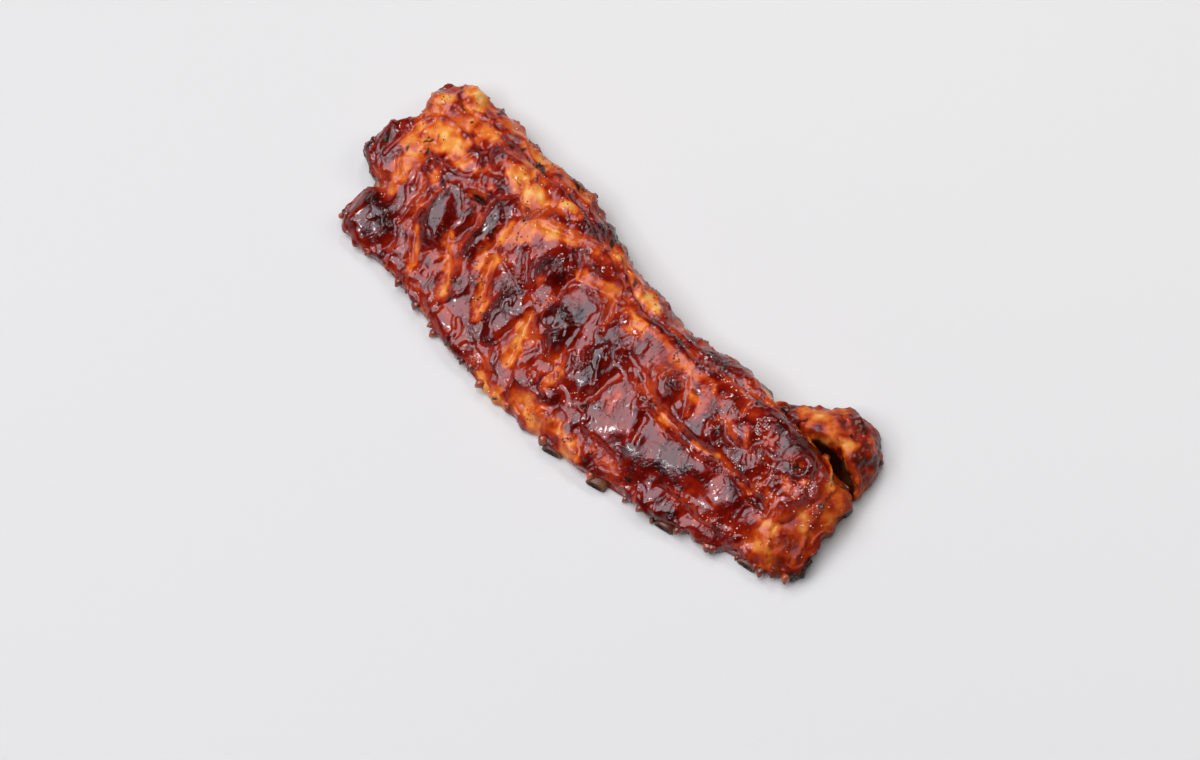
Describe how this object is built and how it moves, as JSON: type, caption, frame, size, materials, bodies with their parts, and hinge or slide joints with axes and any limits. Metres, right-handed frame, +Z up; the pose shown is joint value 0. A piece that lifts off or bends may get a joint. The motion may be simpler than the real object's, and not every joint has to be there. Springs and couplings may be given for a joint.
{
  "type": "rack of ribs",
  "caption": "A full rack of cooked pork ribs under a dark sticky barbecue glaze, lying bone side down, with the bone ends showing along its thin side.",
  "frame": {"origin": "under the middle of the rack, on the plane it rests on", "axes": "+X along the rack towards the end with the folded flap, +Y across it towards the thick side, +Z up"},
  "size_m": [0.4199, 0.1614, 0.0428],
  "materials": {
    "glazed_pork": "dark red-brown sticky glaze over roasted meat, glossy",
    "roasted_bone": "roasted bone, brown and matt, charred at its end"
  },
  "bodies": {
    "root": {"meat": "glazed_pork", "rib_bone_01": "roasted_bone", "rib_bone_02": "roasted_bone", "rib_bone_03": "roasted_bone", "rib_bone_04": "roasted_bone", "rib_bone_05": "roasted_bone", "rib_bone_06": "roasted_bone", "rib_bone_07": "roasted_bone", "rib_bone_08": "roasted_bone", "rib_bone_09": "roasted_bone", "rib_bone_10": "roasted_bone", "rib_bone_11": "roasted_bone", "rib_bone_12": "roasted_bone", "rib_bone_13": "roasted_bone"}
  },
  "joints": []
}
